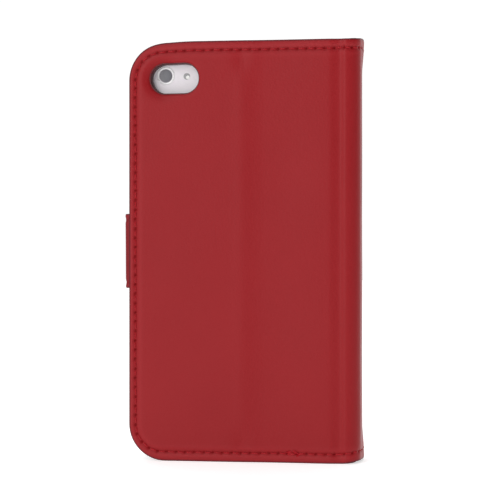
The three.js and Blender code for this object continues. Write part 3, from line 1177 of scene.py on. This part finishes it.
def front_inner_face(s, z):
    """The innermost face of the front cover: the lining, or the pocket that lies on it."""
    level = front_lining_inner(s, z) + LINING_OUT
    for pocket in POCKETS:
        covered = (pocket.from_mouth(s, z) > 0) & (s > pocket.inset)
        level = np.where(covered, pocket.inner(s, z), level)
    return level - LINING_OUT


def build_pockets():
    for pocket in POCKETS:
        pocket.build()
    inner = on_surface(LINING, front_inner_face, lining_rise, side=-1)
    obj = make_thread("front_lining_thread", [(inner, LINING_HOLES, THREAD)], thread_red, True)
    hinge_blend(finish_piece(obj, "lining_leather"), "front_cover")


# ---- the strap ----

STRAP_X = high("strap_side_leather")[0] - 0.4  # leather lies closer than its rigid stand-in
STRAP_LEAN = 0.42  # how much closer its side lies at its lower edge
STRAP_ROOT_Y = high("strap_anchor")[1] - 0.03
STRAP_ROOT_RADIUS = 1.5
FLAP_TIP = low("strap_flap_leather")[0]
FLAP_Y = low("strap_flap_leather")[1]
FLAP_CORNER = 6.0
FLAP_BEND = 2.0
FLAP_DEPTH = high("strap_flap_lining")[1] - FLAP_Y
FLAP_EDGE = 1.15  # thickness of its sewn edge
FLAP_SKIN = 0.83  # thickness of its padded leather


def strap_section():
    """The strap's outer line from its tip round to the end held in the back cover."""
    bend = (STRAP_X - FLAP_BEND, FLAP_Y + FLAP_BEND)
    root = (STRAP_X - STRAP_ROOT_RADIUS, STRAP_ROOT_Y - STRAP_ROOT_RADIUS)
    return Section(
        line((FLAP_TIP, FLAP_Y), (bend[0], FLAP_Y)),
        arc(bend, FLAP_BEND, -90, 0),
        line((STRAP_X, bend[1]), (STRAP_X, root[1])),
        arc(root, STRAP_ROOT_RADIUS, 0, 90),
        line((root[0], STRAP_ROOT_Y), (low("strap_anchor")[0], STRAP_ROOT_Y)),
    )


STRAP = strap_section()
BEND_S = STRAP_X - FLAP_BEND - FLAP_TIP
SIDE_S = BEND_S + FLAP_BEND * math.pi / 2
ROOT_S = SIDE_S + STRAP_ROOT_Y - STRAP_ROOT_RADIUS - (FLAP_Y + FLAP_BEND)
STRAP_MID_S = (SIDE_S + ROOT_S) / 2


def strap_edge(s, z):
    return inside(s, z - STRAP_LOW, STRAP_HIGH - z, FLAP_CORNER)


def strap_seam(s, z):
    low_side, high_side = z - STRAP_LOW - STRAP_SEAM, STRAP_HIGH - STRAP_SEAM - z
    return inside(s - STRAP_SEAM, low_side, high_side, FLAP_CORNER - STRAP_SEAM)


def flap_share(s):
    """1 on the flap, where the strap is padded out by its magnet, and 0 on the side."""
    return 1 - ease(BEND_S - 4, BEND_S + 1, s)


STRAP_SEAM_PATH = seam_path(
    ROOT_S + 1.4, STRAP_SEAM, STRAP_LOW + STRAP_SEAM, STRAP_HIGH - STRAP_SEAM,
    FLAP_CORNER - STRAP_SEAM, FLAP_CORNER - STRAP_SEAM,
)
STRAP_HOLES = stitch_holes(STRAP_SEAM_PATH, SMALL_PITCH, 0.04)


def strap_padding(s, z):
    """1 where the flap is padded out, 0 at its sewn edge."""
    return ease(0.9, 3.1, strap_edge(s, z))


def strap_lean(s, z):
    """The strap's side lies closer to the case towards its lower edge."""
    side = ease(BEND_S, SIDE_S, s) * (1 - ease(ROOT_S - 1, ROOT_S + 1.5, s))
    return STRAP_LEAN * side * (1 - (z - STRAP_LOW) / (STRAP_HIGH - STRAP_LOW))


def strap_outer(s, z):
    flap = flap_share(s)
    padded = strap_padding(s, z)
    level = flap * (FLAP_DEPTH - FLAP_EDGE) * (1 - padded)
    level += 0.14 * hump(0.6, strap_seam(s, z)) + 0.16 * hump(0.22, strap_edge(s, z))
    level += 0.2 * near_hole(s, z, STRAP_HOLES, 0.4)
    return level + strap_lean(s, z)


def strap_middle(s, z):
    """Where the strap's leather and lining meet, or part round the magnet."""
    flap = flap_share(s)
    sewn = flap * (FLAP_DEPTH - STRAP_LINING - 0.03) + (1 - flap) * STRAP_SKIN
    parted = flap * strap_padding(s, z) * (FLAP_DEPTH - STRAP_LINING - FLAP_SKIN)
    return sewn - parted + strap_lean(s, z)


def strap_lining_outer(s, z):
    flap = flap_share(s)
    level = flap * (FLAP_DEPTH - STRAP_LINING) + (1 - flap) * (STRAP_SKIN + 0.02)
    return level + strap_lean(s, z)


def strap_lining_inner(s, z):
    press = 0.08 * hump(0.6, strap_seam(s, z)) + 0.1 * hump(0.22, strap_edge(s, z))
    press += 0.1 * near_hole(s, z, STRAP_HOLES, 0.4)
    return strap_lining_outer(s, z) + STRAP_LINING - press


def runs_where(keep, holes):
    """The unbroken runs of holes for which keep holds."""
    edges = np.flatnonzero(np.diff(keep.astype(int))) + 1
    parts = np.split(np.arange(len(holes)), edges)
    return [holes[part] for part in parts if keep[part[0]] and len(part) > 1]


def millimetre_point(x, y):
    return (x / PER_METRE, y / PER_METRE, 0)


ROOT_BLEND = (
    "back_cover", "strap_side",
    millimetre_point(STRAP_X - 1.3, STRAP_ROOT_Y - 0.2),
    millimetre_point(STRAP_X - 0.3, STRAP_ROOT_Y - 2.1),
)
FOLD_BLEND = (
    "strap_side", "strap_flap",
    millimetre_point(STRAP_X - 0.1, FLAP_Y + 3.0),
    millimetre_point(STRAP_X - 2.4, FLAP_Y + 0.9),
)


def strap_blend(obj, where):
    first, second, start, end = where
    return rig.blend(obj, first, second, start=start, end=end)


def build_strap_part(name, s_lines, bodies, leather_nodes, lining_nodes, keep):
    """One half of the strap: its leather, its lining and the thread that joins them."""
    z_lines = spaced(
        STRAP_LOW, (0.1, STRAP_LOW + 0.2), (0.3, STRAP_LOW + 5),
        (0.5, STRAP_HIGH - 5), (0.3, STRAP_HIGH - 0.2), (0.1, STRAP_HIGH),
    )
    radii = (FLAP_CORNER, FLAP_CORNER) if s_lines[0] == 0 else None
    layers = (
        ("_leather", strap_outer, strap_middle, OUTER_LAYERS, "outer_leather", leather_nodes),
        ("_lining", strap_lining_outer, strap_lining_inner, INNER_LAYERS,
         "lining_leather", lining_nodes),
    )
    for ending, outer, inner, materials, slot, nodes in layers:
        sheet = Sheet(STRAP, s_lines, z_lines, outer, inner, radii)
        obj, s, z, level = sheet.build(name + ending, materials)
        shade_sheet(obj, s, z, level * 0, STRAP_HOLES, strap_edge, strap_seam)
        # painted shade where the strap bends round at its root
        paint(obj, "bend", 0.4 * hump(2.4, s - ROOT_S - 1))
        strap_blend(finish_piece(obj, slot, *nodes), bodies)
    holes = runs_where(keep(STRAP_HOLES[:, 0]), STRAP_HOLES)
    faces = on_surface(STRAP, strap_outer), on_surface(STRAP, strap_lining_inner, side=-1)
    runs = [(face, run, SMALL_THREAD) for face in faces for run in holes]
    thread = make_thread(name + "_thread", runs, thread_red)
    strap_blend(finish_piece(thread, "outer_leather"), bodies)


def build_strap():
    flap_s = spaced(
        0, (0.1, 0.2), (0.3, 6), (0.5, BEND_S - 1), (0.25, SIDE_S + 1), (0.5, STRAP_MID_S),
    )
    build_strap_part(
        "strap_flap_half", flap_s, FOLD_BLEND,
        ("strap_side_leather", "strap_flap_leather"),
        ("strap_side_lining", "strap_flap_lining"),
        lambda s: s < STRAP_MID_S + 1.3,
    )
    root_s = spaced(STRAP_MID_S, (0.5, ROOT_S - 1), (0.2, ROOT_S + 4), (0.6, STRAP.length))
    build_strap_part(
        "strap_root_half", root_s, ROOT_BLEND,
        ("strap_side_leather", "strap_anchor"),
        ("strap_side_lining",),
        lambda s: s > STRAP_MID_S - 1.3,
    )


def build_flap_board():
    """The board that stiffens the flap, with a hole for the magnet."""
    inset = 3.1
    corners = ((FLAP_TIP + inset, FREE_X - 2.5), (STRAP_LOW + inset, STRAP_HIGH - inset), 2.5)
    outline = rounded_outline(*corners)
    middle = (low("strap_magnet") + high("strap_magnet")) / 2
    reach = (high("strap_magnet")[0] - low("strap_magnet")[0]) / 2 + 0.3
    x_range, z_range = (middle[0] - reach, middle[0] + reach), (middle[2] - reach, middle[2] + reach)
    hole = rounded_outline(x_range, z_range, reach)
    y_low, y_high = low("strap_flap_stiffener")[1], high("strap_flap_stiffener")[1]
    loops = ((outline, y_low), (outline, y_high), (hole, y_high), (hole, y_low))
    points = np.concatenate([np.insert(loop, 1, y, axis=1) for loop, y in loops])
    count = len(outline)
    starts = count * np.array([0, 1, 2, 3])
    faces = [
        strip(a + np.arange(count), b + np.arange(count))
        for a, b in zip(starts, np.roll(starts, -1))
    ]
    obj, _ = make_object("flap_board", points, faces, [pressed_board])
    finish_piece(obj, "board", "strap_flap_stiffener")
    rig.ride(obj, "strap_flap")


# ---- hard parts that keep their CAD shape ----


def dress(node, material, rounding):
    """Gives a CAD node its material and takes the sharpness off its edges."""
    obj = bpy.data.objects[node]
    obj.data.materials.clear()
    obj.data.materials.append(material)
    bevel = obj.modifiers.new("soft_edges", "BEVEL")
    bevel.width = rounding / PER_METRE
    bevel.segments = 3
    bevel.limit_method = "ANGLE"
    bevel.angle_limit = math.radians(35)
    bevel.harden_normals = True


def dress_hard_parts():
    plastic, foam, steel = plastic_material(), foam_material(), steel_material()
    for material, rounding, nodes in (
        (pressed_board, 0.12,
         ("back_board_edge_side", "back_board_spine_side", "spine_board", "front_board")),
        (plastic, 0.2, ("phone_tray",)),
        (foam, 0.08, ("tray_adhesive_pad",)),
        (steel, 0.15, ("clasp_steel_disc", "strap_magnet")),
    ):
        for node in nodes:
            dress(node, material, rounding)


# ---- the phone seen through the window ----

PHONE = opening("phone_bay_tall")
PHONE_WIDE = opening("phone_bay_wide")
PHONE_ROUND = 8.5


def turned(name, outline, profile, materials, marks):
    """A solid from an outline in x and z and a profile of (inset, y). Each step has a mark."""
    centre = (outline.min(axis=0) + outline.max(axis=0)) / 2
    towards = centre - outline
    size = (outline.max(axis=0) - outline.min(axis=0)) / 2
    points, walls, face_marks = [], [], []
    count = len(outline)
    for inset, y in profile:
        ring = outline + towards / size * inset
        points.append(np.insert(ring, 1, y, axis=1))
    for k, mark in enumerate(marks):
        here = k * count + np.arange(count)
        walls.append(strip(here, here + count))
        face_marks += [mark] * count
    last = (len(profile) - 1) * count
    caps = [np.arange(count)[None, :], last + np.arange(count)[None, :]]
    face_marks += [marks[0], marks[-1]]
    obj, _ = make_object(name, np.concatenate(points), walls + caps, materials, face_marks)
    return obj


def phone_finish(name, dull, bright, roughness, metallic=0, coat=0.6):
    shader = Shader(name)
    speck = shader.noise(0.8, 3)
    shader.set(
        Base_Color=shader.mix(speck, dull, bright),
        Roughness=shader.ramp(speck, 0.3, 0.7, roughness - 0.03, roughness + 0.05),
        Metallic=metallic, Coat_Weight=coat,
    )
    return shader.material


def disc(name, x, z, radius, profile, material):
    outline = rounded_outline((x - radius, x + radius), (z - radius, z + radius), radius, 10)
    return turned(name, outline, profile, [material], [0] * (len(profile) - 1))


def build_phone():
    """A plain phone in the tray, so that the window shows what it is for. Only on the stage."""
    back, front = PHONE[1][1] + 0.02, PHONE[0][1] + 0.05
    outline = rounded_outline(
        (PHONE_WIDE[0][0] + 0.2, PHONE_WIDE[1][0] - 0.2),
        (PHONE[0][2] + 0.1, PHONE[1][2] - 0.1), PHONE_ROUND,
    )
    glass = phone_finish("phone_glass", (0.012, 0.012, 0.014), (0.02, 0.02, 0.022), 0.12)
    shell = phone_finish("phone_back", (0.81, 0.77, 0.81), (0.87, 0.83, 0.87), 0.3, 0, 0.3)
    band = phone_finish("phone_band", (0.5, 0.5, 0.51), (0.62, 0.62, 0.63), 0.3, 1, 0)
    profile = [
        (1.6, back), (0.8, back), (0.5, back - 0.1), (0.4, back - 0.4), (0.05, back - 0.6),
        (0.05, front + 0.6), (0.4, front + 0.4), (0.5, front + 0.1), (0.8, front), (1.6, front),
    ]
    marks = [0, 0, 0, 1, 1, 1, 2, 2, 2]
    pieces = [turned("phone_body", outline, profile, [shell, band, glass], marks)]
    # the chrome lens ring gets a near-white colour, a painted reflection of the bright studio
    ring_painted_reflection = phone_finish("lens_ring", (0.96, 0.96, 0.97), (1.0, 1.0, 1.0), 0.3, 0.1, 0)
    dark = phone_finish("lens_glass", (0.13, 0.132, 0.15), (0.2, 0.2, 0.22), 0.4, 0, 0.2)
    lamp = phone_finish("flash_lens", (0.14, 0.14, 0.15), (0.4, 0.4, 0.4), 0.3)
    bright = phone_finish("flash_light", (0.9, 0.9, 0.88), (1.0, 1.0, 0.98), 0.3)
    offset = 0.3 * FLASH_RADIUS  # the light sits low and to one side in its lens
    flash_z = LENS_Z - 0.2
    for name, x, z, radius, material, steps in (
        ("phone_lens_ring", LENS_X, LENS_Z, LENS_RING, ring_painted_reflection,
         ((0, -0.1), (0.05, 0.1), (0.3, 0.22), (0.6, 0.12), (0.62, -0.1))),
        ("phone_lens", LENS_X, LENS_Z, LENS_GLASS, dark,
         ((0, 0), (0.02, 0.14), (0.7, 0.2), (1.4, 0.21))),
        ("phone_flash", FLASH_X, flash_z, FLASH_RADIUS, lamp,
         ((0, -0.1), (0.06, 0.02), (0.8, 0.04))),
        ("phone_flash_light", FLASH_X - offset, flash_z - offset, 0.6, bright,
         ((0, 0), (0.06, 0.08), (0.5, 0.09))),
    ):
        profile = [(inset, back + up) for inset, up in steps]
        pieces.append(disc(name, x, z, radius, profile, material))
    for piece in pieces:
        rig.ride(piece, "back_cover")
        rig.stage(piece)


LENS_X = WINDOW_X + 3.05
LENS_Z = WINDOW_Z + 1.3
LENS_RING = 2.7
LENS_GLASS = 1.95
FLASH_X = WINDOW_X - 3.26
FLASH_RADIUS = 1.03

build_outer_leather()
build_cover_thread()
build_lining()
build_pockets()
build_strap()
build_flap_board()
dress_hard_parts()
build_phone()


# ---- stage, light and camera ----


def build_floor():
    bpy.ops.mesh.primitive_plane_add(size=6)
    floor = bpy.context.object
    floor.name = "floor"
    shader = Shader("pale_floor")
    shader.set(
        Base_Color=shader.mix(shader.noise(0.05, 3), (0.72, 0.72, 0.72), (0.76, 0.76, 0.76)),
        Emission_Color=(1, 1, 1), Emission_Strength=0.6, Roughness=0.9, Specular_IOR_Level=0.1,
    )
    floor.data.materials.append(shader.material)
    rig.stage(floor)


def direction(azimuth, elevation):
    a, e = math.radians(azimuth), math.radians(elevation)
    return Vector((math.sin(a) * math.cos(e), -math.cos(a) * math.cos(e), math.sin(e)))


def add_facing(name, data, azimuth, elevation):
    """A light or camera that looks at the case from a side. It is turned, but not moved."""
    obj = bpy.data.objects.new(name, data)
    obj.rotation_mode = "QUATERNION"
    obj.rotation_quaternion = direction(azimuth, elevation).to_track_quat("Z", "Y")
    bpy.context.scene.collection.objects.link(obj)
    return obj


def add_sun(name, azimuth, elevation, strength, softness):
    light = bpy.data.lights.new(name, "SUN")
    light.energy = strength
    light.angle = math.radians(softness)
    add_facing(name, light, azimuth, elevation)


BACKDROP = 1.05  # what the camera sees, just past white


def build_world(camera_side, far_side):
    """A white studio: a bright backdrop behind the case, and darker towards the camera."""
    world = bpy.data.worlds.new("studio")
    bpy.context.scene.world = world
    shader = Shader("studio", world)
    towards = shader.node("TexCoord", {})["Generated"]
    side = shader.node("SeparateXYZ", {"Vector": towards})["Y"]
    light = shader.ramp(side, -0.85, 0.05, far_side, camera_side)
    seen = shader.node("LightPath", {})["Is Camera Ray"]
    shader.set(Color=(1, 1, 1), Strength=shader.ramp(seen, 0, 1, light, BACKDROP))


CAMERA_AZIMUTH = 188.7
CAMERA_ELEVATION = 0.0
CAMERA_DISTANCE = 500.0
CAMERA_LENS = 123.65
AIM_RIGHT = 2.05  # the case sits a little left of and below the middle of the picture
AIM_UP = 0.35


def build_camera():
    data = bpy.data.cameras.new("camera")
    data.lens = CAMERA_LENS
    data.sensor_width = 36
    data.clip_start = 0.01
    camera = add_facing("camera", data, CAMERA_AZIMUTH, CAMERA_ELEVATION)
    target = Vector(((FREE_X + SPINE_X) / 2, BACK_Y, MID_Z))
    target += camera.rotation_quaternion @ Vector((AIM_RIGHT, AIM_UP, 0))
    back = direction(CAMERA_AZIMUTH, CAMERA_ELEVATION)
    camera.location = (target + back * CAMERA_DISTANCE) / PER_METRE
    bpy.context.scene.camera = camera


SUNS = (  # name, azimuth, elevation, strength and softness, with the angles in degrees
    ("key", 150, 34, 0.73, 34),
    ("side", 124, 8, 0.26, 40),
    ("veil", 160, 8, 0.42, 24),
    ("top", 180, 80, 0.55, 50),
    ("front", 20, 45, 0.9, 50),
)

build_floor()
build_world(camera_side=0.2, far_side=0.95)
for sun in SUNS:
    add_sun(*sun)
build_camera()
bpy.context.scene.view_settings.view_transform = "Standard"

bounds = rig.bounds()
with open("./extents.json", "w") as file:
    json.dump({"cad": [list(v) for v in CAD_BOUNDS], "visual": [list(v) for v in bounds]}, file)
